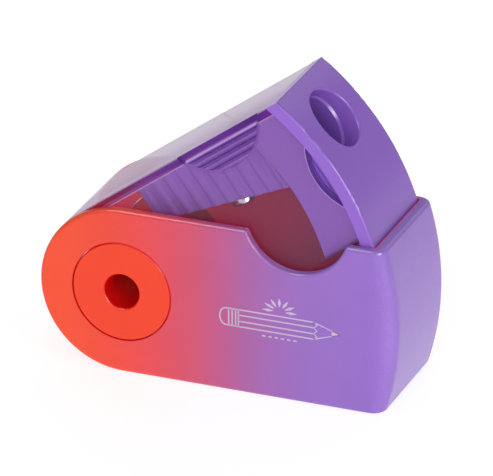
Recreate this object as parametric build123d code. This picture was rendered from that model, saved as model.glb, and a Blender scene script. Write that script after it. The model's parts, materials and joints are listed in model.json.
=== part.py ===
from build123d import *

import os
from math import atan, cos, degrees, radians, sqrt, tan

# Pocket pencil sharpener. A see-through container swings out of a sleeve about a hub. A cap with
# the pencil hole closes the container and holds the sharpening insert, its blade and the screw.
#
# Working frame: X runs from the hub towards the mouth, Y is the width, Z is up, and the hub axis
# is the Y axis. The sleeve is drawn in that frame as it stands. Everything that swings is drawn
# closed, level with the sleeve, and is then turned up by OPEN_ANGLE. The finished parts are
# moved so that the base centre of the whole object is the origin. Lengths are in millimetres.

OPEN_ANGLE = 35.9
BEYOND = 60.0
EDGE_MATCH = 0.01

# Sleeve
SLEEVE_WIDTH = 19.6
SLEEVE_HALF_HEIGHT = 12.0
SLEEVE_END_RADIUS = 39.4
SLEEVE_SIDE_WALL = 1.15
SLEEVE_END_WALL = 1.4
SLEEVE_FLOOR = 0.9
SLEEVE_CORNER_FILLET = 2.0
SLEEVE_RIM_FILLET = 0.6
INNER_CORNER_FILLET = 0.6
FLOOR_START_ANGLE = 262.0
LIP_SLOT_START = 33.7
SCOOP_X = 25.19
SCOOP_Z = 14.42
SCOOP_RADIUS = 7.5
SCOOP_FILLET = 0.4
HUB_HOLE_RADIUS = 7.2

# Hub discs
DISC_RADIUS = 7.12
DISC_EDGE_FILLET = 0.25
SPIGOT_RADIUS = 5.0
SPIGOT_END_GAP = 0.1
CORD_HOLE_RADIUS = 2.5
CORD_HOLE_FILLET = 0.35

# Container
CONTAINER_WIDTH = 17.0
CONTAINER_TOP = 12.0
CONTAINER_BOTTOM = -10.9
CONTAINER_SIDE_WALL = 1.0
CONTAINER_TOP_WALL = 1.2
CONTAINER_BOTTOM_WALL = 1.0
CONTAINER_EDGE_FILLET = 0.3
MOUTH_RADIUS = 36.0
HUB_TUBE_RADIUS = 6.4
HUB_STEP_ANGLE = 215.0
NOTCH_X = 42.7
NOTCH_Z = 0.2
NOTCH_RADIUS = 8.5
GRIP_DEPTH = 0.5
GRIP_RIB_LEVELS = (10.75, 9.65, 8.55, 7.5)
GRIP_RIB_RADIUS = 0.36
GRIP_RIB_INSET = 0.35

# End cap
CAP_RADIUS = 37.75
CAP_LIP_BOTTOM = -11.8
CAP_EDGE_FILLET = 0.35
SKIRT_RADIUS = 29.8
SKIRT_WALL = 1.0
SKIRT_FIT = 0.08
SKIRT_CORNER_FILLET = 0.6
SKIRT_POCKET_DEPTH = 0.5
SKIRT_GROOVE_RADII = (34.7, 35.3)
SKIRT_GROOVE_WIDTH = 0.3
SKIRT_GROOVE_DEPTH = 0.15
PENCIL_Z = 5.2
PENCIL_HOLE_RADIUS = 4.42
PENCIL_HOLE_FILLET = 0.3
COLLAR_RADIUS = 5.3

# Sharpening insert
INSERT_START = 8.7
INSERT_END = 35.0
INSERT_TOP = 10.6
INSERT_CORE_HALF_WIDTH = 5.8
INSERT_RIB_HALF_WIDTH = 6.05
INSERT_RIB_PITCH = 2.1
INSERT_RIB_WIDTH = 1.4
INSERT_RIB_TAPER = 0.5
BORE_RADIUS = 4.1
BORE_MOUTH_CHAMFER = 0.3
CONE_SLOPE = 0.227
CONE_TIP_X = 12.1
LEAD_HOLE_RADIUS = 0.45
CUT_DEPTH = 0.12
CHEEK_DEPTH = 0.5
THROAT_ANGLE = 30.0
TAB_START = 31.2
TAB_END = 34.0
TAB_LOW = 1.0
TAB_HIGH = 10.0

# Blade and screw
BLADE_LENGTH = 20.0
BLADE_THICKNESS = 0.7
BLADE_BACK = -5.2
BLADE_EDGE = 0.2
BLADE_BEVEL = 1.8
SEAT_CLEARANCE = 0.05
SCREW_X = 20.4
SCREW_Y = -3.1
SCREW_HEAD_RADIUS = 1.75
SCREW_HEAD_HEIGHT = 1.2
SCREW_HEAD_FILLET = 0.45
SCREW_SHANK_RADIUS = 0.9
SCREW_SHANK_DEPTH = 4.2
SCREW_SLOT_WIDTH = 0.5
SCREW_SLOT_DEPTH = 0.5

SLEEVE_HALF_WIDTH = SLEEVE_WIDTH / 2
CAVITY_HALF_WIDTH = SLEEVE_HALF_WIDTH - SLEEVE_SIDE_WALL
CAVITY_RADIUS = SLEEVE_END_RADIUS - SLEEVE_END_WALL
FLOOR_TOP = -SLEEVE_HALF_HEIGHT + SLEEVE_FLOOR
CONTAINER_HALF_WIDTH = CONTAINER_WIDTH / 2
CHAMBER_HALF_WIDTH = CONTAINER_HALF_WIDTH - CONTAINER_SIDE_WALL
CHAMBER_TOP = CONTAINER_TOP - CONTAINER_TOP_WALL
CHAMBER_BOTTOM = CONTAINER_BOTTOM + CONTAINER_BOTTOM_WALL
SKIRT_HALF_WIDTH = CHAMBER_HALF_WIDTH - SKIRT_FIT
SKIRT_INNER_HALF_WIDTH = SKIRT_HALF_WIDTH - SKIRT_WALL
CONE_ANGLE = degrees(atan(CONE_SLOPE))
PIVOT_X = (SLEEVE_HALF_HEIGHT - SLEEVE_END_RADIUS) / 2
PIVOT_Z = SLEEVE_HALF_HEIGHT


def window(x_low, x_high, z_low, z_high):
    """Rectangle in the XZ plane between two X and two Z values."""
    centre = Pos((x_low + x_high) / 2, (z_low + z_high) / 2)
    return centre * Rectangle(x_high - x_low, z_high - z_low)


def slab(outline, y_low, y_high):
    """Solid with an XZ outline that reaches from y_low to y_high."""
    solid = extrude(Plane.XZ * outline, amount=(y_high - y_low) / 2, both=True)
    return Pos(0, (y_low + y_high) / 2, 0) * solid


def block(x_low, x_high, y_low, y_high, z_low, z_high):
    """Box between two X, two Y and two Z values."""
    return slab(window(x_low, x_high, z_low, z_high), y_low, y_high)


def cross_rod(radius, x=0.0, z=0.0, y_low=-BEYOND, y_high=BEYOND):
    """Round bar along Y."""
    return slab(Pos(x, z) * Circle(radius), y_low, y_high)


def long_rod(radius, x_low, x_high, y, z):
    """Round bar along X."""
    bar = Cylinder(radius, x_high - x_low)
    return Pos((x_low + x_high) / 2, y, z) * Rot(0, 90, 0) * bar


def mirrored(piece):
    """A piece together with its mirror image on the other side of the XZ plane."""
    return piece + mirror(piece, about=Plane.XZ)


def arc_edges(part, radius):
    """Round edges of a given radius."""
    circles = part.edges().filter_by(GeomType.CIRCLE)
    return circles.filter_by(lambda edge: abs(edge.radius - radius) < EDGE_MATCH)


def edges_at_height(part, z, y_abs):
    """Straight edges along X at a given height and distance from the XZ plane."""
    lines = part.edges().filter_by(GeomType.LINE).filter_by(Axis.X)
    return lines.filter_by(
        lambda edge: abs(edge.center().Z - z) < EDGE_MATCH and abs(abs(edge.center().Y) - y_abs) < EDGE_MATCH
    )


def cross_edges(part, x, z):
    """Straight edges along Y at a given X and Z."""
    lines = part.edges().filter_by(GeomType.LINE).filter_by(Axis.Y)
    return lines.filter_by(
        lambda edge: abs(edge.center().X - x) < EDGE_MATCH and abs(edge.center().Z - z) < EDGE_MATCH
    )


def chord(radius, z):
    """X of a circle about the hub axis at height z."""
    return sqrt(radius * radius - z * z)


def hub_outline(large_radius, small_radius):
    """Round end of the container: the small radius with a larger sector on its upper left."""
    slope = tan(radians(HUB_STEP_ANGLE - 180))
    sector = Polygon(
        (0, 0), (0, BEYOND), (-BEYOND, BEYOND), (-BEYOND, -BEYOND * slope), align=None
    )
    return Circle(small_radius) + (Circle(large_radius) & sector)


def make_sleeve():
    """Outer sleeve: two sides, an end wall and a thin floor, with a finger scoop on each side."""
    top_x = chord(SLEEVE_END_RADIUS, SLEEVE_HALF_HEIGHT)
    outline = Circle(SLEEVE_HALF_HEIGHT) + (
        Circle(SLEEVE_END_RADIUS)
        & window(0, BEYOND, -SLEEVE_HALF_HEIGHT, SLEEVE_HALF_HEIGHT)
    )
    body = slab(outline, -SLEEVE_HALF_WIDTH, SLEEVE_HALF_WIDTH)
    body = fillet(arc_edges(body, SLEEVE_END_RADIUS), SLEEVE_CORNER_FILLET)
    rim = arc_edges(body, SLEEVE_HALF_HEIGHT) + arc_edges(body, SLEEVE_CORNER_FILLET)
    for z in (-SLEEVE_HALF_HEIGHT, SLEEVE_HALF_HEIGHT):
        rim += edges_at_height(body, z, SLEEVE_HALF_WIDTH) + cross_edges(body, top_x, z)
    body = fillet(rim, SLEEVE_RIM_FILLET)

    floor_start = SLEEVE_HALF_HEIGHT * cos(radians(FLOOR_START_ANGLE))
    channel = Circle(CAVITY_RADIUS) & window(floor_start, BEYOND, FLOOR_TOP, BEYOND)
    lip_slot = Circle(CAVITY_RADIUS) & window(LIP_SLOT_START, BEYOND, -BEYOND, BEYOND)
    open_end = window(-BEYOND, floor_start, -BEYOND, BEYOND)
    cavity = slab(channel + lip_slot, -CAVITY_HALF_WIDTH, CAVITY_HALF_WIDTH)
    cavity = fillet(arc_edges(cavity, CAVITY_RADIUS), INNER_CORNER_FILLET)
    body -= cavity + slab(open_end, -CAVITY_HALF_WIDTH, CAVITY_HALF_WIDTH)
    body -= cross_rod(SCOOP_RADIUS, SCOOP_X, SCOOP_Z)
    body -= cross_rod(HUB_HOLE_RADIUS)
    scoop = arc_edges(body, SCOOP_RADIUS).filter_by(
        lambda edge: abs(edge.center().Y) > CAVITY_HALF_WIDTH + SLEEVE_SIDE_WALL / 2
    )
    return fillet(scoop, SCOOP_FILLET)


def make_hub_disc():
    """Front hub disc: a plate that turns in the sleeve and a spigot pressed into the container."""
    plate = cross_rod(DISC_RADIUS, y_low=-SLEEVE_HALF_WIDTH, y_high=-CONTAINER_HALF_WIDTH)
    plate = fillet(plate.edges().group_by(Axis.Y)[0], DISC_EDGE_FILLET)
    spigot = cross_rod(SPIGOT_RADIUS, y_low=-CONTAINER_HALF_WIDTH, y_high=-SPIGOT_END_GAP)
    disc = plate + spigot - cross_rod(CORD_HOLE_RADIUS)
    mouth = arc_edges(disc, CORD_HOLE_RADIUS).sort_by(Axis.Y)[0]
    return fillet(mouth, CORD_HOLE_FILLET)


def grip_recess():
    """Shallow round pocket with finger ribs, cut into the front side of the container."""
    floor = -CONTAINER_HALF_WIDTH + GRIP_DEPTH
    pocket = cross_rod(SCOOP_RADIUS, SCOOP_X, SCOOP_Z, -BEYOND, floor)
    inner = cross_rod(SCOOP_RADIUS - GRIP_RIB_INSET, SCOOP_X, SCOOP_Z)
    for level in GRIP_RIB_LEVELS:
        rib = long_rod(GRIP_RIB_RADIUS, 0, BEYOND, floor, level)
        pocket -= rib & inner
    return pocket


def make_container():
    """Container for the shavings, open at its mouth, with the hub tube across its round end."""
    outline = hub_outline(SLEEVE_HALF_HEIGHT, -CONTAINER_BOTTOM) + (
        Circle(MOUTH_RADIUS) & window(0, BEYOND, CONTAINER_BOTTOM, CONTAINER_TOP)
    )
    shell = slab(outline, -CONTAINER_HALF_WIDTH, CONTAINER_HALF_WIDTH)
    long_edges = arc_edges(shell, SLEEVE_HALF_HEIGHT)
    long_edges += edges_at_height(shell, CONTAINER_TOP, CONTAINER_HALF_WIDTH)
    shell = fillet(long_edges, CONTAINER_EDGE_FILLET)
    chamber = hub_outline(CHAMBER_TOP, -CHAMBER_BOTTOM) + window(
        0, BEYOND, CHAMBER_BOTTOM, CHAMBER_TOP
    )
    chamber -= Circle(HUB_TUBE_RADIUS)
    shell -= slab(chamber, -CHAMBER_HALF_WIDTH, CHAMBER_HALF_WIDTH)
    shell -= cross_rod(SPIGOT_RADIUS)
    shell -= cross_rod(NOTCH_RADIUS, NOTCH_X, NOTCH_Z)
    shell -= mirrored(grip_recess())
    return shell


def make_end_cap():
    """Cap that closes the mouth: a curved face with the pencil hole and a skirt behind it."""
    face_outline = (Circle(CAP_RADIUS) - Circle(MOUTH_RADIUS)) & window(
        0, BEYOND, CAP_LIP_BOTTOM, CONTAINER_TOP
    )
    face = slab(face_outline, -CONTAINER_HALF_WIDTH, CONTAINER_HALF_WIDTH)
    outer_edges = arc_edges(face, CAP_RADIUS)
    for z in (CAP_LIP_BOTTOM, CONTAINER_TOP):
        outer_edges += cross_edges(face, chord(CAP_RADIUS, z), z)
    face = fillet(outer_edges, CAP_EDGE_FILLET)

    overlap_radius = (MOUTH_RADIUS + CAP_RADIUS) / 2
    skirt_top = CHAMBER_TOP - SKIRT_FIT
    skirt_bottom = CHAMBER_BOTTOM + SKIRT_FIT
    skirt_ring = Circle(overlap_radius) - Circle(SKIRT_RADIUS)
    skirt = slab(
        skirt_ring & window(0, BEYOND, skirt_bottom, skirt_top),
        -SKIRT_HALF_WIDTH,
        SKIRT_HALF_WIDTH,
    )
    skirt = fillet(edges_at_height(skirt, skirt_bottom, SKIRT_HALF_WIDTH), SKIRT_CORNER_FILLET)
    skirt -= slab(
        Circle(MOUTH_RADIUS) & window(0, BEYOND, skirt_bottom + SKIRT_WALL, BEYOND),
        -SKIRT_INNER_HALF_WIDTH,
        SKIRT_INNER_HALF_WIDTH,
    )
    notch = (Pos(NOTCH_X, NOTCH_Z) * Circle(NOTCH_RADIUS)) & Circle(MOUTH_RADIUS)
    pocket_floor = -SKIRT_HALF_WIDTH + SKIRT_POCKET_DEPTH
    skirt -= mirrored(slab(notch, -SKIRT_HALF_WIDTH, pocket_floor))
    for radius in SKIRT_GROOVE_RADII:
        ring = (Circle(radius + SKIRT_GROOVE_WIDTH) - Circle(radius)) & notch
        skirt -= mirrored(slab(ring, pocket_floor, pocket_floor + SKIRT_GROOVE_DEPTH))
    collar = long_rod(COLLAR_RADIUS, INSERT_END, MOUTH_RADIUS, 0, PENCIL_Z)
    cap = face + skirt + (collar & cross_rod(overlap_radius))
    cap -= long_rod(PENCIL_HOLE_RADIUS, 0, BEYOND, 0, PENCIL_Z)
    outside = cap.edges().filter_by(lambda edge: edge.bounding_box().min.X > MOUTH_RADIUS)
    hole_edge = outside.filter_by(
        lambda edge: edge.bounding_box().max.Y < COLLAR_RADIUS
        and edge.bounding_box().min.Y > -COLLAR_RADIUS
    )
    return fillet(hole_edge, PENCIL_HOLE_FILLET)


def on_seat(piece):
    """Places a piece drawn about the blade seat: X along the blade and Z towards the cone."""
    seat_z = PENCIL_Z - CONE_SLOPE * (SCREW_X - CONE_TIP_X) + CUT_DEPTH
    return Pos(SCREW_X, 0, seat_z) * Rot(0, CONE_ANGLE, 0) * piece


def make_insert():
    """Sharpening insert: a wedge with a conical bore, a blade seat and a throat for shavings."""
    cheek_z = PENCIL_Z - CONE_SLOPE * (INSERT_START - CONE_TIP_X) - CHEEK_DEPTH
    cheek_end_z = cheek_z - CONE_SLOPE * (INSERT_END - INSERT_START)
    wedge = Polygon(
        (INSERT_START, INSERT_TOP),
        (INSERT_START, cheek_z),
        (INSERT_END, cheek_end_z),
        (INSERT_END, INSERT_TOP),
        align=None,
    ) & Circle(MOUTH_RADIUS - SKIRT_FIT)
    insert = slab(wedge, -INSERT_CORE_HALF_WIDTH, INSERT_CORE_HALF_WIDTH)
    rib_count = int((SKIRT_RADIUS - INSERT_START) / INSERT_RIB_PITCH) + 1
    rib_root = 2 * INSERT_CORE_HALF_WIDTH - INSERT_RIB_HALF_WIDTH
    ribbed = slab(wedge, -INSERT_RIB_HALF_WIDTH, INSERT_RIB_HALF_WIDTH)
    for index in range(rib_count):
        x_low = INSERT_START + index * INSERT_RIB_PITCH
        x_high = x_low + INSERT_RIB_WIDTH
        bar = Polygon(
            (x_low, -rib_root),
            (x_low, -INSERT_CORE_HALF_WIDTH),
            (x_low + INSERT_RIB_TAPER, -INSERT_RIB_HALF_WIDTH),
            (x_high - INSERT_RIB_TAPER, -INSERT_RIB_HALF_WIDTH),
            (x_high, -INSERT_CORE_HALF_WIDTH),
            (x_high, -rib_root),
            align=None,
        )
        rib = extrude(Plane.XY * bar, amount=BEYOND, both=True)
        insert += mirrored(rib) & ribbed
    tabs = block(
        TAB_START,
        TAB_END,
        -SKIRT_INNER_HALF_WIDTH,
        SKIRT_INNER_HALF_WIDTH,
        TAB_LOW,
        TAB_HIGH,
    )
    insert += tabs

    cone_end = CONE_TIP_X + BORE_RADIUS / CONE_SLOPE
    cone_height = cone_end - CONE_TIP_X
    cone = Pos(CONE_TIP_X + cone_height / 2, 0, PENCIL_Z) * (
        Rot(0, 90, 0) * Cone(0, BORE_RADIUS, cone_height)
    )
    insert -= cone + long_rod(BORE_RADIUS, cone_end, BEYOND, 0, PENCIL_Z)
    mouth = arc_edges(insert, BORE_RADIUS).sort_by(Axis.X)[-1]
    insert = chamfer(mouth, BORE_MOUTH_CHAMFER)
    insert -= long_rod(LEAD_HOLE_RADIUS, 0, SCREW_X, 0, PENCIL_Z)

    half_blade = BLADE_LENGTH / 2 + SEAT_CLEARANCE
    seat = block(
        -half_blade, half_blade, BLADE_BACK - SEAT_CLEARANCE, BLADE_EDGE, -BEYOND, 0
    )
    throat = Polygon(
        (BLADE_EDGE, 0),
        (BEYOND, BEYOND * tan(radians(THROAT_ANGLE))),
        (BEYOND, -BEYOND),
        (BLADE_EDGE, -BEYOND),
        align=None,
    )
    throat = extrude(Plane.YZ * throat, amount=half_blade, both=True)
    shank_hole = Cylinder(SCREW_SHANK_RADIUS, 2 * SCREW_SHANK_DEPTH)
    insert -= on_seat(seat) + on_seat(throat) + on_seat(Pos(0, SCREW_Y, 0) * shank_hole)
    return insert


def make_blade():
    """Blade: a flat steel strip with one bevelled cutting edge and a hole for the screw."""
    section = Polygon(
        (BLADE_BACK, 0),
        (BLADE_EDGE, 0),
        (BLADE_EDGE - BLADE_BEVEL, -BLADE_THICKNESS),
        (BLADE_BACK, -BLADE_THICKNESS),
        align=None,
    )
    strip = extrude(Plane.YZ * section, amount=BLADE_LENGTH / 2, both=True)
    hole = Pos(0, SCREW_Y, 0) * Cylinder(SCREW_SHANK_RADIUS + SEAT_CLEARANCE, BEYOND)
    return on_seat(strip - hole)


def make_screw():
    """Slotted pan-head screw that clamps the blade to its seat."""
    head = Pos(0, 0, -SCREW_HEAD_HEIGHT / 2) * Cylinder(SCREW_HEAD_RADIUS, SCREW_HEAD_HEIGHT)
    head = fillet(head.edges().group_by(Axis.Z)[0], SCREW_HEAD_FILLET)
    slot = Box(BEYOND, SCREW_SLOT_WIDTH, 2 * SCREW_SLOT_DEPTH)
    head -= Pos(0, 0, -SCREW_HEAD_HEIGHT) * slot
    shank_length = BLADE_THICKNESS + SCREW_SHANK_DEPTH
    shank = Pos(0, 0, shank_length / 2) * Cylinder(SCREW_SHANK_RADIUS, shank_length)
    return on_seat(Pos(0, SCREW_Y, -BLADE_THICKNESS) * (head + shank))


def opened(part):
    """Swings a closed part up about the hub axis to the stored open pose."""
    return Rot(0, -OPEN_ANGLE, 0) * part


front_disc = make_hub_disc()
parts = {
    "sleeve": make_sleeve(),
    "front_hub_disc": opened(front_disc),
    "rear_hub_disc": opened(mirror(front_disc, about=Plane.XZ)),
    "container": opened(make_container()),
    "end_cap": opened(make_end_cap()),
    "sharpening_insert": opened(make_insert()),
    "blade": opened(make_blade()),
    "blade_screw": opened(make_screw()),
}

os.makedirs("parts", exist_ok=True)
for name, part in parts.items():
    export_step(Pos(PIVOT_X, 0, PIVOT_Z) * part, f"parts/{name}.step")
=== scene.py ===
import json
from math import cos, radians, sin

import bmesh
import bpy
from mathutils import Matrix, Vector


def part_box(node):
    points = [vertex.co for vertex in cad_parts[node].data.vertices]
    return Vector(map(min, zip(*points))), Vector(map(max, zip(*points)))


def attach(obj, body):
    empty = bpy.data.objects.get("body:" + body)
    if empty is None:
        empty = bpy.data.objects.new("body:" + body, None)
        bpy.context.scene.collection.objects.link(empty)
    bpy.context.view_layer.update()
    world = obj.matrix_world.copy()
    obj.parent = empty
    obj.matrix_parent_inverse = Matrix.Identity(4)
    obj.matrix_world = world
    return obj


# Pocket pencil sharpener: looks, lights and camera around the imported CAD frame.
# Lengths are in metres, in the row frame: X towards the end wall, Y the width, Z up.

MM = 0.001
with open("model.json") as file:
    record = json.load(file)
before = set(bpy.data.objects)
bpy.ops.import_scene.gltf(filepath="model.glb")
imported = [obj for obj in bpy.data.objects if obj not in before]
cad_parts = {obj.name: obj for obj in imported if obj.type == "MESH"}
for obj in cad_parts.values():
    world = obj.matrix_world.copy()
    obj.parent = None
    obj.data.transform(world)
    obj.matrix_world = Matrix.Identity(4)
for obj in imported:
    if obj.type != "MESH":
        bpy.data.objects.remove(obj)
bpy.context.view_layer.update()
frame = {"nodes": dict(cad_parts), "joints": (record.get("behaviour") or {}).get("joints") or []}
nodes = frame["nodes"]
hinge = frame["joints"][0]
PIVOT = Vector(hinge["pos_m"])
OPEN_ANGLE = -radians(hinge["range_deg"][0])

SLEEVE_LOW, SLEEVE_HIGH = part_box("sleeve")
FRONT_Y = SLEEVE_LOW.y
SIDE_WALL = 1.15 * MM


# ---------------------------------------------------------------- node helpers

class Shader:
    """Adds and links the shader nodes of one material."""

    def __init__(self, name):
        self.material = bpy.data.materials.new(name)
        self.material.use_nodes = True
        self.tree = self.material.node_tree
        self.tree.nodes.clear()
        self.output = self.add("ShaderNodeOutputMaterial")
        self.surface = self.add("ShaderNodeBsdfPrincipled")
        self.link(self.surface.outputs[0], self.output.inputs[0])

    def add(self, kind):
        return self.tree.nodes.new(kind)

    def link(self, source, target):
        self.tree.links.new(source, target)

    def feed(self, target, value):
        """Sets a socket to a number or colour, or links it to another socket."""
        if isinstance(value, bpy.types.NodeSocket):
            self.link(value, target)
        else:
            target.default_value = value

    def set(self, **values):
        """Sets sockets of the surface by name, with _ for a space."""
        for name, value in values.items():
            self.feed(self.surface.inputs[name.replace("_", " ")], value)

    def math(self, operation, a, b=0.0, c=0.0, clamp=False):
        """Math node. Its inputs are numbers or sockets."""
        node = self.add("ShaderNodeMath")
        node.operation = operation
        node.use_clamp = clamp
        for socket, value in zip(node.inputs, (a, b, c)):
            self.feed(socket, value)
        return node.outputs[0]

    def product(self, first, *others):
        """Multiplies masks together."""
        for other in others:
            first = self.math("MULTIPLY", first, other)
        return first

    def position(self):
        node = self.add("ShaderNodeTexCoord")
        return node.outputs["Object"]

    def split(self, vector):
        node = self.add("ShaderNodeSeparateXYZ")
        self.link(vector, node.inputs[0])
        return node.outputs

    def mapped(self, vector, location=(0, 0, 0), rotation=(0, 0, 0), scale=(1, 1, 1)):
        node = self.add("ShaderNodeMapping")
        self.link(vector, node.inputs["Vector"])
        node.inputs["Location"].default_value = location
        node.inputs["Rotation"].default_value = rotation
        node.inputs["Scale"].default_value = scale
        return node.outputs[0]

    def noise(self, vector, scale, detail=2.0, roughness=0.5):
        node = self.add("ShaderNodeTexNoise")
        self.link(vector, node.inputs["Vector"])
        node.inputs["Scale"].default_value = scale
        node.inputs["Detail"].default_value = detail
        node.inputs["Roughness"].default_value = roughness
        return node.outputs[0]

    def ramp(self, factor, stops, interpolation="LINEAR"):
        """Colour ramp. stops are (place, colour) pairs."""
        node = self.add("ShaderNodeValToRGB")
        node.color_ramp.interpolation = interpolation
        elements = node.color_ramp.elements
        while len(elements) < len(stops):
            elements.new(0.5)
        for element, (place, colour) in zip(elements, stops):
            element.position = place
            element.color = colour
        self.feed(node.inputs[0], factor)
        return node.outputs[0]

    def mix(self, factor, a, b):
        node = self.add("ShaderNodeMix")
        node.data_type = "RGBA"
        self.feed(node.inputs["Factor"], factor)
        self.feed(node.inputs["A"], a)
        self.feed(node.inputs["B"], b)
        return node.outputs["Result"]

    def step(self, value, low, high):
        """0 below low, 1 above high, smooth between."""
        node = self.add("ShaderNodeMapRange")
        node.interpolation_type = "SMOOTHSTEP"
        self.feed(node.inputs["Value"], value)
        node.inputs["From Min"].default_value = low
        node.inputs["From Max"].default_value = high
        return node.outputs[0]

    def closed_position(self):
        """Coordinates of the swinging parts as if closed: about the hinge, X towards the mouth."""
        turn = Matrix.Rotation(OPEN_ANGLE, 3, "Y")
        return self.mapped(self.position(), location=-(turn @ PIVOT), rotation=(0, OPEN_ANGLE, 0))

    def closed_normal(self):
        """Normal in the same turned axes as closed_position, as X, Y and Z sockets."""
        node = self.add("ShaderNodeTexCoord")
        return self.split(self.mapped(node.outputs["Normal"], rotation=(0, OPEN_ANGLE, 0)))

    def distance(self, x, z, centre_x, centre_z):
        """Distance from a line along Y through a centre."""
        across = self.math("SUBTRACT", x, centre_x)
        up = self.math("SUBTRACT", z, centre_z)
        square = self.math("ADD", self.math("MULTIPLY", across, across), self.math("MULTIPLY", up, up))
        return self.math("SQRT", square)

    def near_circle(self, x, z, centre_x, centre_z, radius, reach):
        """1 within reach of a round cut, 0 from a third further away."""
        off = self.math("SUBTRACT", self.distance(x, z, centre_x, centre_z), radius)
        return self.step(self.math("ABSOLUTE", off), reach * 4 / 3, reach)

    def along_stops(self, value, origin, stops):
        """Inputs for ramp from stops of (mm from origin, colour): where value is along them, and the
        same stops over 0 to 1."""
        first, last = stops[0][0], stops[-1][0]
        along = self.math("SUBTRACT", value, origin + first * MM)
        along = self.math("DIVIDE", along, (last - first) * MM)
        return along, [((place - first) / (last - first), colour) for place, colour in stops]

    def mix_shader(self, factor, first, second):
        node = self.add("ShaderNodeMixShader")
        self.feed(node.inputs[0], factor)
        self.link(first.outputs[0], node.inputs[1])
        self.link(second.outputs[0], node.inputs[2])
        return node

    def bump(self, height, strength, distance):
        node = self.add("ShaderNodeBump")
        node.inputs["Strength"].default_value = strength
        node.inputs["Distance"].default_value = distance
        self.link(height, node.inputs["Height"])
        self.link(node.outputs[0], self.surface.inputs["Normal"])


def srgb(red, green, blue, alpha=1.0):
    """Linear colour from 0 to 255 display values."""
    def linear(value):
        value /= 255
        return value / 12.92 if value <= 0.04045 else ((value + 0.055) / 1.055) ** 2.4
    return (linear(red), linear(green), linear(blue), alpha)


ORANGE = srgb(237, 63, 31)
# Painted shade in the cord hole and in the gap round the hub discs.
SHADE_RED = srgb(225, 10, 6)
RAW_ORANGE = srgb(255, 36, 62)
RAW_FAR = srgb(216, 60, 116)
# Painted glow of the bare inner wall of the sleeve.
PAINTED_GLOW = (1.0, 0.01, 0.06, 1)
PURPLE = srgb(143, 98, 199)
PRINT_LILAC = srgb(196, 178, 206)
CLEAR_TINT = (0.94, 0.9, 0.925, 1)
# Painted shade in what is seen through the band along the solid edge of the top wall.
BAND_SHADE_TINT = (0.3, 0.15, 0.36, 1)
POCKET_TINT = srgb(215, 195, 228)
SHADE_TINT = srgb(100, 55, 155)
HAZE_COLOUR = srgb(196, 150, 206)
# Pale painted reflection on the container's top, standing in for its glare; lighter towards the rear.
PAINTED_TOP_GLARE = srgb(160, 132, 182)
PAINTED_TOP_GLARE_REAR = srgb(186, 170, 200)
# Painted highlight along the edge of the thumb notch, also used for pale streaks in the painted band.
EDGE_HIGHLIGHT = srgb(205, 165, 235)
# Painted highlight on the rib faces of the grip recess that look up.
RIB_HIGHLIGHT = srgb(184, 138, 218)
# Painted highlight line where the inner edge of the top wall shows through the front wall.
LINE_HIGHLIGHT = srgb(196, 140, 190)

# Noise scales, in features per metre, and how the streaks are stretched.
CLOUD_SCALE = 120
GRAIN_SCALE = 4000
SPECKLE_SCALE = 5200
STREAK_SCALE = 1300
STREAK_STRETCH = (0.03, 1, 1)
STEEL_MARK_SCALE = 3000
INK_COVER_SCALE = 2500
FLOOR_GRAIN_SCALE = 40

# Satin plastic.
CLOUD_DEPTH = 0.12
SATIN_IOR = 1.5
SATIN_SPECULAR = 0.3
SATIN_ROUGHNESS, SATIN_ROUGHNESS_SPAN = 0.2, 0.1
SATIN_BUMP, SATIN_BUMP_DEPTH = 0.05, 0.01 * MM

# Every fade below starts at its first value and is full at its second.

# Hub discs, with painted shade in their cord hole and in the gap round them, which the discs and the sleeve
# share.
DISC_GAP_RADIUS = 7.16 * MM
DISC_GAP_SHADE_REACH = 0.15 * MM
SLEEVE_GAP_SHADE_REACH = 0.12 * MM
GAP_SHADE_DEPTH = 0.8
CORD_HOLE_RADIUS = 2.5 * MM
CORD_HOLE_SHADE_FADE = (CORD_HOLE_RADIUS + 0.25 * MM, CORD_HOLE_RADIUS + 0.05 * MM)

# Sleeve. Its fades are distances from the hub, apart from the outer face's, which are past the inner
# face of the side wall, and the underside's, which are heights above the base.
OUTER_FACE_FADE = (0.01 * MM, 0.06 * MM)
SPRAY_JITTER = 0.10
END_WALL_FADE = (38.05 * MM, 38.3 * MM)
UNDERSIDE_FADE = (0.8 * MM, 0.3 * MM)
RAW_FAR_FADE = (6 * MM, 26 * MM)
# Strength of the painted glow on the bare inner wall.
PAINTED_GLOW_STRENGTH = 0.17

# Container. X and Z are from the hub, as if closed.
TOP_WALL_LOW = 10.8 * MM
CONTAINER_TOP = 12.0 * MM
CONTAINER_HALF_WIDTH = 8.5 * MM
NOTCH = (42.7 * MM, 0.2 * MM, 8.5 * MM)  # X, Z and radius of the thumb notch
SCOOP = (25.19 * MM, 14.42 * MM, 7.5 * MM)  # X, Z and radius of the finger recess
SCOOP_TOP_FADE = (11.5 * MM, 11.0 * MM)
BAND_FADE = (TOP_WALL_LOW - 0.05 * MM, TOP_WALL_LOW + 0.15 * MM)
LINE_FADE = (0.12 * MM, 0.05 * MM)
OUTERMOST_FADE = (CONTAINER_TOP - 0.4 * MM, CONTAINER_TOP - 0.2 * MM)
REAR_FADE = (-0.5 * CONTAINER_HALF_WIDTH, 0.8 * CONTAINER_HALF_WIDTH)
GRIP_WALL_REACH = 0.2 * MM
NOTCH_WALL_REACH = 0.3 * MM
NOTCH_RIM_REACH = 0.06 * MM

# Fades of the container over a share of its normal, or over the noise of its streaks.
SIDE_FADE = (0.5, 0.8)
TOP_FADE = (0.45, 0.8)
GRIP_WALL_FADE = (0.8, 0.6)
NOTCH_WALL_FADE = (0.5, 0.2)
RIB_FADE = (0.0, 0.1)
STREAK_FADE = (0.5, 0.75)

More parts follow.
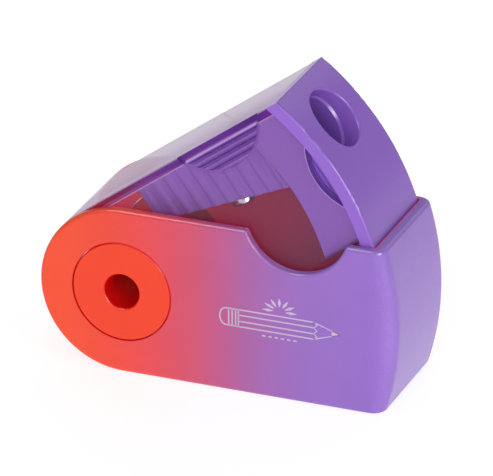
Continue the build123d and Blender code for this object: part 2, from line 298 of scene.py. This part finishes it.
# How much each feature of the container adds to its haze, to its painted shade, highlights and glare, and to
# its gloss and mirror.
STREAK_COVER = 0.16
CLEAR_HAZE = 0.035
BAND_PAINT_SHARE = 0.84
TOP_GLARE_LEAST, TOP_GLARE_STREAKS = 0.6, 0.3
LINE_HIGHLIGHT_SHARE = 0.35
CUT_PAINT_SHARE = 0.7
RIB_HIGHLIGHT_SHARE = 0.6
GLOSS_COLOUR = (0.9, 0.84, 0.92, 1)
GLOSS_ROUGHNESS, GLOSS_ROUGHNESS_STREAKS = 0.02, 0.1
MIRROR_POWER = 5.0
MIRROR_LEAST, MIRROR_GRAZING, MIRROR_STREAKS = 0.012, 0.4, 0.4

# Steel and ink.
STEEL_ROUGHNESS_SPAN = 0.2
STEEL_BUMP_DEPTH = 0.05 * MM
INK_SHADE = 0.8
INK_ROUGHNESS = 0.45
INK_BUMP, INK_BUMP_DEPTH = 0.1, 0.002 * MM


# ---------------------------------------------------------------- materials

def satin(shader, place, colour):
    """Finish of the moulded plastics: faint mottling, fine spark-eroded grain and soft gloss."""
    cloudy = shader.noise(place, CLOUD_SCALE, 3)
    dimmed = shader.mix(shader.math("MULTIPLY", cloudy, CLOUD_DEPTH), colour, (0, 0, 0, 1))
    shader.set(Base_Color=dimmed, IOR=SATIN_IOR, Specular_IOR_Level=SATIN_SPECULAR)
    fine = shader.noise(place, GRAIN_SCALE, 2)
    shader.set(Roughness=shader.math("MULTIPLY_ADD", fine, SATIN_ROUGHNESS_SPAN, SATIN_ROUGHNESS))
    shader.bump(fine, SATIN_BUMP, SATIN_BUMP_DEPTH)
    return shader.material


def moulded(name, colour):
    """Plain satin moulded plastic."""
    shader = Shader(name)
    return satin(shader, shader.position(), colour)


def hub_plastic():
    """Orange plastic of the hub discs, with painted shade in deeper red inside the cord hole and in the gap
    round the disc.
    """
    shader = Shader("hub_plastic")
    place = shader.position()
    x, y, z = shader.split(place)
    reach = shader.distance(x, z, PIVOT.x, PIVOT.z)
    # Painted shade in deeper red inside the cord hole and in the gap round the disc.
    bore_shade = shader.step(reach, *CORD_HOLE_SHADE_FADE)
    gap = shader.near_circle(x, z, PIVOT.x, PIVOT.z, DISC_GAP_RADIUS, DISC_GAP_SHADE_REACH)
    painted_shade = shader.math("MAXIMUM", bore_shade, shader.math("MULTIPLY", gap, GAP_SHADE_DEPTH))
    return satin(shader, place, shader.mix(painted_shade, ORANGE, SHADE_RED))


# Colours along X, in mm from the hub: the spray's own turn from orange to purple, with painted light and
# shade in them, as they were set to match sampled colours of the lit object.
SPRAY_AND_LIGHT_STOPS = (
    (-8, srgb(238, 76, 44)),
    (-2, srgb(233, 72, 54)),
    (2, srgb(229, 72, 70)),
    (6, srgb(218, 73, 88)),
    (10, srgb(204, 78, 105)),
    (14, srgb(187, 84, 133)),
    (18, srgb(167, 93, 157)),
    (22, srgb(155, 100, 178)),
    (27, srgb(147, 104, 188)),
    (36, srgb(143, 104, 194)),
    (39, srgb(155, 116, 206)),
)


def sprayed_sleeve():
    """Orange plastic, sprayed outside with a fine speckle that turns purple along X.

    The bare inner wall has a faint red emission near the hub: a painted glow that stands in for light
    scattered in the plastic. Painted shade in deeper red lies in the gap round the hub disc."""
    shader = Shader("sprayed_plastic")
    place = shader.position()
    x, y, z = shader.split(place)
    along, stops = shader.along_stops(x, PIVOT.x, SPRAY_AND_LIGHT_STOPS)
    speckle = shader.noise(place, SPECKLE_SCALE, 1)
    jitter = shader.math("MULTIPLY_ADD", speckle, SPRAY_JITTER, -SPRAY_JITTER / 2)
    along = shader.math("ADD", along, jitter, clamp=True)
    spray_and_shade = shader.ramp(along, stops)

    inner_y = SLEEVE_HIGH.y - SIDE_WALL
    wall_low, wall_high = (inner_y + past for past in OUTER_FACE_FADE)
    outside_y = shader.step(shader.math("ABSOLUTE", y), wall_low, wall_high)
    reach = shader.distance(x, z, PIVOT.x, PIVOT.z)
    outside_end = shader.step(reach, *END_WALL_FADE)
    below = shader.step(z, *UNDERSIDE_FADE)
    outside = shader.math("MAXIMUM", shader.math("MAXIMUM", outside_y, outside_end), below)
    far = shader.step(x, PIVOT.x + RAW_FAR_FADE[0], PIVOT.x + RAW_FAR_FADE[1])
    raw = shader.mix(far, RAW_ORANGE, RAW_FAR)
    inside, near = shader.math("SUBTRACT", 1.0, outside), shader.math("SUBTRACT", 1.0, far)
    # Painted glow on the bare inner wall near the hub, standing in for light scattered in the plastic.
    shader.set(Emission_Color=PAINTED_GLOW, Emission_Strength=shader.product(inside, near, PAINTED_GLOW_STRENGTH))
    # Painted shade in deeper red in the gap round the hub disc.
    gap = shader.near_circle(x, z, PIVOT.x, PIVOT.z, DISC_GAP_RADIUS, SLEEVE_GAP_SHADE_REACH)
    spray_and_shade = shader.mix(shader.math("MULTIPLY", gap, GAP_SHADE_DEPTH), spray_and_shade, SHADE_RED)
    return satin(shader, place, shader.mix(outside, raw, spray_and_shade))


# Colours of the painted band along the solid edge of the top wall, along X in mm from the hub: painted
# shade, red near the hub where it stands in for the orange sleeve seen through the thick edge, and darker
# near the cap.
PAINTED_BAND_STOPS = (
    (-4, srgb(170, 12, 36)),
    (4, srgb(150, 12, 46)),
    (8, srgb(110, 22, 80)),
    (13, srgb(100, 38, 126)),
    (18, srgb(88, 34, 126)),
    (26, srgb(92, 36, 136)),
    (31, srgb(72, 24, 118)),
    (34, srgb(92, 28, 134)),
)


def clear_plastic():
    """Tinted see-through plastic of the container.

    Each face filters what is behind it, adds a little haze and mirrors more at a grazing view.
    Painted shade lies along the solid edge of the top wall, with a painted highlight line under it.
    The notch wall has painted shade and a painted highlight along its edge, the grip ribs have painted
    highlights and painted shade, and the top has a pale painted reflection that stands in for its glare.
    The top is nearly opaque from every side. It was set for the low view of the photo only.
    Only a face met from outside carries the painted band, line and top, so that the two sides don't add up."""
    shader = Shader("clear_plastic")
    place = shader.closed_position()
    x, y, z = shader.split(place)
    normal = shader.closed_normal()
    sideways = shader.math("ABSOLUTE", normal[1])
    side = shader.step(sideways, *SIDE_FADE)
    geometry = shader.add("ShaderNodeNewGeometry")
    met = shader.math("SUBTRACT", 1.0, geometry.outputs["Backfacing"])

    # The band along the solid edge of the top wall is painted shade, with colours that stand in for what
    # light shows through the thick edge.
    above_chamber = shader.step(z, *BAND_FADE)
    outer_side = shader.math("MULTIPLY", side, met)
    grip_wall = shader.near_circle(x, z, *SCOOP, GRIP_WALL_REACH)
    grip_wall = shader.product(grip_wall, shader.step(normal[2], *GRIP_WALL_FADE), met)
    solid = shader.math("MAXIMUM", outer_side, grip_wall)
    band = shader.math("MULTIPLY", above_chamber, solid)
    # Painted highlight line along the lower edge of the band, where the inner edge of the top wall shows
    # through.
    off_line = shader.math("ABSOLUTE", shader.math("SUBTRACT", z, TOP_WALL_LOW))
    line = shader.math("MULTIPLY", shader.step(off_line, *LINE_FADE), outer_side)
    # The outline of the top is level past the hub and round before it.
    reach = shader.distance(shader.math("MINIMUM", x, 0.0), z, 0.0, 0.0)
    outermost = shader.step(reach, *OUTERMOST_FADE)
    # Pale painted reflection on the top, standing in for its glare; it is the same from every side.
    top = shader.product(shader.step(normal[2], *TOP_FADE), met, outermost)

    # Painted shade on the wall of the thumb notch and a painted highlight along its edge on the outer face.
    notch_wall = shader.near_circle(x, z, *NOTCH, NOTCH_WALL_REACH)
    notch_wall = shader.math("MULTIPLY", notch_wall, shader.step(sideways, *NOTCH_WALL_FADE))
    rim = shader.math("MULTIPLY", shader.near_circle(x, z, *NOTCH, NOTCH_RIM_REACH), outer_side)
    cut = shader.math("MAXIMUM", notch_wall, rim)

    scoop_x, scoop_z, scoop_radius = SCOOP
    from_scoop = shader.distance(x, z, scoop_x, scoop_z)
    inside_scoop = shader.step(from_scoop, scoop_radius - 0.3 * MM, scoop_radius - 0.4 * MM)
    inside_scoop = shader.product(inside_scoop, shader.step(z, *SCOOP_TOP_FADE), met)
    # Painted highlight on rib faces in the grip recess that look up, painted shade on those that look down.
    slope = shader.math("MULTIPLY", normal[2], inside_scoop)
    rib_highlight_amount = shader.math("MULTIPLY", slope, RIB_HIGHLIGHT_SHARE, clamp=True)
    rib_shade_amount = shader.math("MULTIPLY", slope, -1.0, clamp=True)
    pocket = shader.math("MULTIPLY", inside_scoop, side)

    band_paint = shader.ramp(*shader.along_stops(x, 0.0, PAINTED_BAND_STOPS))
    streaks = shader.noise(shader.mapped(place, scale=STREAK_STRETCH), STREAK_SCALE, 3)
    pale_streaks = shader.math("MULTIPLY", shader.step(streaks, *STREAK_FADE), STREAK_COVER)
    band_paint = shader.mix(pale_streaks, band_paint, EDGE_HIGHLIGHT)

    tint = shader.add("ShaderNodeBsdfTransparent")
    colour = shader.mix(band, CLEAR_TINT, BAND_SHADE_TINT)
    colour = shader.mix(pocket, colour, POCKET_TINT)
    shader.feed(tint.inputs["Color"], shader.mix(rib_shade_amount, colour, SHADE_TINT))
    # This diffuse layer holds the plastic's haze and also the painted shade, highlights and glare set below.
    haze = shader.add("ShaderNodeBsdfDiffuse")
    colour = shader.mix(band, HAZE_COLOUR, band_paint)
    across = shader.step(y, *REAR_FADE)
    colour = shader.mix(top, colour, shader.mix(across, PAINTED_TOP_GLARE, PAINTED_TOP_GLARE_REAR))
    colour = shader.mix(line, colour, LINE_HIGHLIGHT)
    colour = shader.mix(notch_wall, colour, SHADE_TINT)
    colour = shader.mix(rim, colour, EDGE_HIGHLIGHT)
    shader.feed(haze.inputs["Color"], shader.mix(shader.step(rib_highlight_amount, *RIB_FADE), colour, RIB_HIGHLIGHT))
    amount = shader.math("MULTIPLY_ADD", band, BAND_PAINT_SHARE, CLEAR_HAZE)
    top_glare = shader.math("MULTIPLY_ADD", streaks, TOP_GLARE_STREAKS, TOP_GLARE_LEAST)
    amount = shader.math("MULTIPLY_ADD", top, top_glare, amount)
    amount = shader.math("MULTIPLY_ADD", line, LINE_HIGHLIGHT_SHARE, amount)
    amount = shader.math("MULTIPLY_ADD", cut, CUT_PAINT_SHARE, amount)
    amount = shader.math("ADD", amount, rib_highlight_amount, clamp=True)
    body = shader.mix_shader(amount, tint, haze)

    gloss = shader.add("ShaderNodeBsdfGlossy")
    gloss.inputs["Color"].default_value = GLOSS_COLOUR
    gloss_roughness = shader.math("MULTIPLY_ADD", streaks, GLOSS_ROUGHNESS_STREAKS, GLOSS_ROUGHNESS)
    shader.feed(gloss.inputs["Roughness"], gloss_roughness)
    facing = shader.add("ShaderNodeLayerWeight")
    facing.inputs["Blend"].default_value = 0.5
    mirror = shader.math("POWER", facing.outputs["Facing"], MIRROR_POWER)
    grazing_share = shader.math("MULTIPLY_ADD", streaks, MIRROR_STREAKS, MIRROR_GRAZING)
    mirror = shader.math("MULTIPLY", mirror, grazing_share)
    mirror = shader.math("ADD", mirror, MIRROR_LEAST, clamp=True)
    skin = shader.mix_shader(mirror, body, gloss)
    shader.link(skin.outputs[0], shader.output.inputs[0])
    shader.tree.nodes.remove(shader.surface)
    return shader.material


def steel(name, colour, roughness, stretch, relief):
    """Bright steel with fine marks that are stretched along one direction."""
    shader = Shader(name)
    place = shader.mapped(shader.position(), rotation=(0, OPEN_ANGLE, 0), scale=stretch)
    marks = shader.noise(place, STEEL_MARK_SCALE, 3)
    shader.set(Base_Color=colour, Metallic=1.0)
    shader.set(Roughness=shader.math("MULTIPLY_ADD", marks, STEEL_ROUGHNESS_SPAN, roughness))
    shader.bump(marks, relief, STEEL_BUMP_DEPTH)
    return shader.material


def ink():
    """Pale print with slightly uneven cover."""
    shader = Shader("print_ink")
    place = shader.position()
    cover = shader.noise(place, INK_COVER_SCALE, 3)
    dimmed = tuple(c * INK_SHADE for c in PRINT_LILAC[:3]) + (1.0,)
    shader.set(Base_Color=shader.mix(cover, dimmed, PRINT_LILAC), Roughness=INK_ROUGHNESS)
    shader.bump(cover, INK_BUMP, INK_BUMP_DEPTH)
    return shader.material


def paint_node(name, material):
    mesh = nodes[name].data
    mesh.materials.clear()
    mesh.materials.append(material)


# ---------------------------------------------------------------- print on the front of the sleeve

INK_PROUD = 0.01 * MM

# The drawing, in mm from the hub.
INK_LINE = 0.2
PENCIL_LOW, PENCIL_HIGH = -2.2, 0.3
PENCIL_MIDDLE = (PENCIL_LOW + PENCIL_HIGH) / 2
EDGE_OFFSET = 0.45
CAP_CENTRE, CAP_DEPTH = 15.2, 0.9
FERRULE_LINES = (15.6, 16.1, 16.6)
BODY_START, BODY_END, TIP = 17.0, 27.8, 31.6
WAVE_DEPTH, WAVE_STEPS = 0.5, 6
LEAD_PLACES, LEAD_WIDTHS = (30.4, 31.0, TIP), (0.85, 0.45, 0.05)
RAY_CENTRE = (22.9, 1.0)
RAY_COUNT = 7
RAY_REACHES, RAY_WIDTHS = (0.7, 1.3, 1.9), (0.12, 0.42, 0.06)
RAY_STRETCH = 1.3
DASH_COUNT, DASH_START, DASH_STEP, DASH_LENGTH, DASH_LEVEL = 6, 20.4, 0.9, 0.5, -2.95


def ribbon(mesh, points, widths):
    """Adds a flat strip of ink along points (X and Z from the hub in mm) with a width at each."""
    rows = []
    for index, (point, width) in enumerate(zip(points, widths)):
        before = Vector(points[max(index - 1, 0)])
        after = Vector(points[min(index + 1, len(points) - 1)])
        along = (after - before).normalized()
        across = Vector((-along.y, along.x)) * width / 2
        rows.append([])
        for level in (FRONT_Y - INK_PROUD, FRONT_Y + INK_PROUD):
            for edge in (Vector(point) + across, Vector(point) - across):
                place = (PIVOT.x + edge.x * MM, level, PIVOT.z + edge.y * MM)
                rows[-1].append(mesh.verts.new(place))
    for one, two in zip(rows, rows[1:]):
        for a, b in ((0, 1), (1, 3), (3, 2), (2, 0)):
            mesh.faces.new((one[a], one[b], two[b], two[a]))
    for a, b, c, d in (rows[0], rows[-1]):
        mesh.faces.new((a, b, d, c))


def stroke(mesh, *points):
    """Adds a strip of the usual line width."""
    ribbon(mesh, points, [INK_LINE] * len(points))


def draw_pencil(mesh):
    low, high, middle = PENCIL_LOW, PENCIL_HIGH, PENCIL_MIDDLE
    for level in (low, middle - EDGE_OFFSET, middle + EDGE_OFFSET, high):
        stroke(mesh, (BODY_START, level), (BODY_END, level))
    stroke(mesh, (BODY_END, high), (TIP, middle), (BODY_END, low))
    wave = [
        (BODY_END + WAVE_DEPTH * (index % 2), low + (high - low) * index / WAVE_STEPS)
        for index in range(WAVE_STEPS + 1)
    ]
    stroke(mesh, *wave)
    ribbon(mesh, [(place, middle) for place in LEAD_PLACES], LEAD_WIDTHS)
    for place in (*FERRULE_LINES, BODY_START):
        stroke(mesh, (place, low), (place, high))
    round_end = [radians(90 + 20 * index) for index in range(10)]
    half = (high - low) / 2
    stroke(mesh, *[(CAP_CENTRE + CAP_DEPTH * cos(angle), middle + half * sin(angle)) for angle in round_end])
    stroke(mesh, (CAP_CENTRE, high), (BODY_START, high))
    stroke(mesh, (CAP_CENTRE, low), (BODY_START, low))


def draw_rays(mesh):
    centre_x, centre_z = RAY_CENTRE
    for index in range(RAY_COUNT):
        angle = radians(180 * index / (RAY_COUNT - 1))
        ray = [
            (centre_x + reach * RAY_STRETCH * cos(angle), centre_z + reach * sin(angle))
            for reach in RAY_REACHES
        ]
        ribbon(mesh, ray, RAY_WIDTHS)


def draw_dashes(mesh):
    for index in range(DASH_COUNT):
        start = DASH_START + DASH_STEP * index
        stroke(mesh, (start, DASH_LEVEL), (start + DASH_LENGTH, DASH_LEVEL))


def make_print():
    """A small drawing of a pencil with a fan of rays above it and a row of dashes below."""
    mesh = bmesh.new()
    draw_pencil(mesh)
    draw_rays(mesh)
    draw_dashes(mesh)
    bmesh.ops.recalc_face_normals(mesh, faces=mesh.faces)
    data = bpy.data.meshes.new("sleeve_print")
    mesh.to_mesh(data)
    mesh.free()
    data.materials.append(ink())
    piece = bpy.data.objects.new("sleeve_print", data)
    bpy.context.scene.collection.objects.link(piece)
    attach(piece, "sleeve")


# ---------------------------------------------------------------- stage and camera

CAMERA_AZIMUTH = radians(21.795)
CAMERA_ELEVATION = radians(24.56)
CAMERA_ROLL = radians(-0.13)
CAMERA_DISTANCE = 0.8363
CAMERA_RIGHT = 0.01325
CAMERA_UP = 0.00349
CAMERA_LENS = 448.2
CAMERA_SENSOR = 36.0
CAMERA_CLIP_START = 0.01

FLOOR_HALF = 1.2
FLOOR_DARK, FLOOR_LIGHT = (0.38, 0.38, 0.38, 1), (0.42, 0.42, 0.42, 1)
FLOOR_ROUGHNESS = 0.6
FLOOR_GLOW = 0.74
WHITE = (1, 1, 1, 1)
WORLD_STRENGTH = 0.45
LIGHT_TARGET = (0, 0, 0.02)

# Name, place in metres, side in metres, power in watts, and if it lights colour or only gives gloss.
LIGHTS = (
    ("key", (0.12, -0.76, 0.34), 0.4, 2.3, True),
    ("edge", (0.62, -0.42, 0.34), 0.12, 0.85, True),
    ("back", (0.1, 0.7, 0.6), 0.5, 0.9, True),
    ("edge_gloss", (0.66, -0.43, 0.33), 0.45, 10.0, False),
    ("rim_gloss", (-0.29, -0.33, 0.72), 0.4, 5.0, False),
)


def make_camera():
    """Camera of the perspective fit, placed from the hub."""
    azimuth, elevation = CAMERA_AZIMUTH, CAMERA_ELEVATION
    back = Vector((sin(azimuth) * cos(elevation), -cos(azimuth) * cos(elevation), sin(elevation)))
    right = Vector((cos(azimuth), sin(azimuth), 0))
    up = back.cross(right)
    rolled_right = right * cos(CAMERA_ROLL) + up * sin(CAMERA_ROLL)
    rolled_up = up * cos(CAMERA_ROLL) - right * sin(CAMERA_ROLL)
    place = PIVOT + back * CAMERA_DISTANCE + rolled_right * CAMERA_RIGHT + rolled_up * CAMERA_UP
    data = bpy.data.cameras.new("camera")
    data.lens = CAMERA_LENS
    data.sensor_width = CAMERA_SENSOR
    data.clip_start = CAMERA_CLIP_START
    camera = bpy.data.objects.new("camera", data)
    turn = Matrix((rolled_right, rolled_up, back)).transposed().to_4x4()
    camera.matrix_world = Matrix.Translation(place) @ turn
    bpy.context.scene.collection.objects.link(camera)
    bpy.context.scene.camera = camera


def make_floor():
    """Pale floor that gives off some light, so that it reads as white as the photo's background."""
    half = FLOOR_HALF
    corners = [(-half, -half, 0), (half, -half, 0), (half, half, 0), (-half, half, 0)]
    mesh = bpy.data.meshes.new("floor")
    mesh.from_pydata(corners, [], [(0, 1, 2, 3)])
    floor = bpy.data.objects.new("floor", mesh)
    bpy.context.scene.collection.objects.link(floor)
    shader = Shader("pale_floor")
    grain = shader.noise(shader.position(), FLOOR_GRAIN_SCALE, 2)
    shader.set(Base_Color=shader.mix(grain, FLOOR_DARK, FLOOR_LIGHT), Roughness=FLOOR_ROUGHNESS)
    shader.set(Emission_Color=WHITE, Emission_Strength=FLOOR_GLOW)
    mesh.materials.append(shader.material)


def add_light(name, place, size, power, lights_colour):
    """Square soft light that faces the middle of the object. Without lights_colour it only gives gloss."""
    data = bpy.data.lights.new(name, "AREA")
    data.size = size
    data.energy = power
    light = bpy.data.objects.new(name, data)
    target = Vector(LIGHT_TARGET)
    place = Vector(place)
    light.location = place
    light.rotation_euler = (place - target).to_track_quat("Z", "Y").to_euler()
    light.visible_diffuse = lights_colour
    bpy.context.scene.collection.objects.link(light)


def make_lights():
    world = bpy.data.worlds.new("studio")
    world.use_nodes = True
    background = world.node_tree.nodes["Background"]
    background.inputs["Color"].default_value = WHITE
    background.inputs["Strength"].default_value = WORLD_STRENGTH
    bpy.context.scene.world = world
    for light in LIGHTS:
        add_light(*light)


# ---------------------------------------------------------------- assembly

paint_node("sleeve", sprayed_sleeve())
hub = hub_plastic()
paint_node("front_hub_disc", hub)
paint_node("rear_hub_disc", hub)
paint_node("container", clear_plastic())
cap = moulded("cap_plastic", PURPLE)
paint_node("end_cap", cap)
paint_node("sharpening_insert", cap)
paint_node("blade", steel("blade_steel", srgb(200, 200, 205), 0.2, (0.05, 1, 1), 0.1))
paint_node("blade_screw", steel("screw_steel", srgb(205, 205, 210), 0.08, (1, 1, 1), 1.0))
make_print()

bpy.context.scene.view_settings.view_transform = "Standard"
make_floor()
make_lights()
make_camera()
